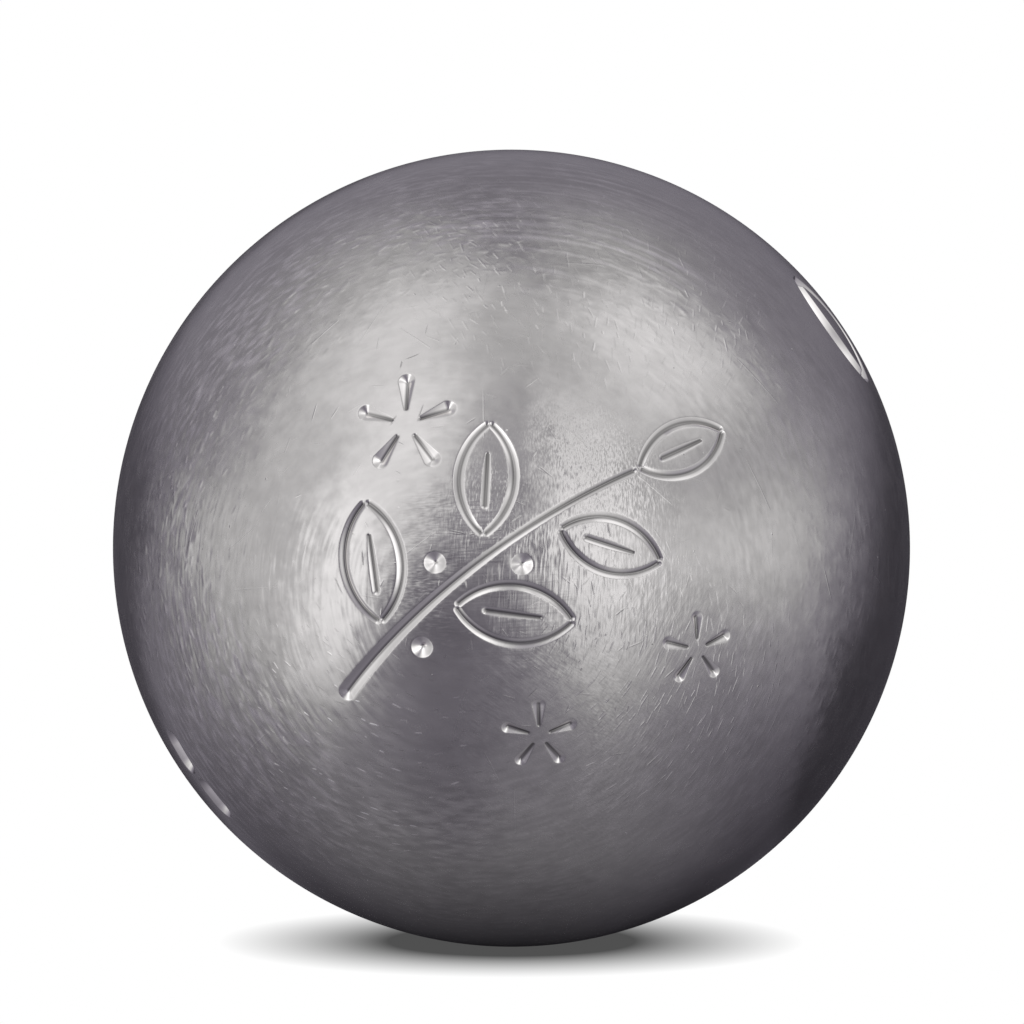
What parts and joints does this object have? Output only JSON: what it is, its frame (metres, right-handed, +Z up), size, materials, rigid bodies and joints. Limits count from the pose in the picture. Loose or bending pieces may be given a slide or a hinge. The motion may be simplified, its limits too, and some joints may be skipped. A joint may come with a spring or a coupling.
{
  "type": "petanque boule",
  "caption": "Hollow steel ball for throwing in petanque, made of welded half shells with a satin turned finish and an engraved sprig.",
  "frame": {"origin": "centre of the ball", "axes": "+Y along the axis that both half shells are turned about, from the engraved half to the plain half, which have the weld between them in the XZ plane; +Z up, so the engraving reads upright when it is seen from -Y; +X to the right in that view"},
  "size_m": [0.074, 0.074, 0.074],
  "materials": {
    "shell_steel": "satin, turned and brushed, with fine scratches round the turning axis",
    "weld_steel": "ground flush and brushed like the shells"
  },
  "bodies": {
    "root": {"engraved_shell": "shell_steel", "plain_shell": "shell_steel", "weld_bead": "weld_steel"}
  },
  "joints": []
}
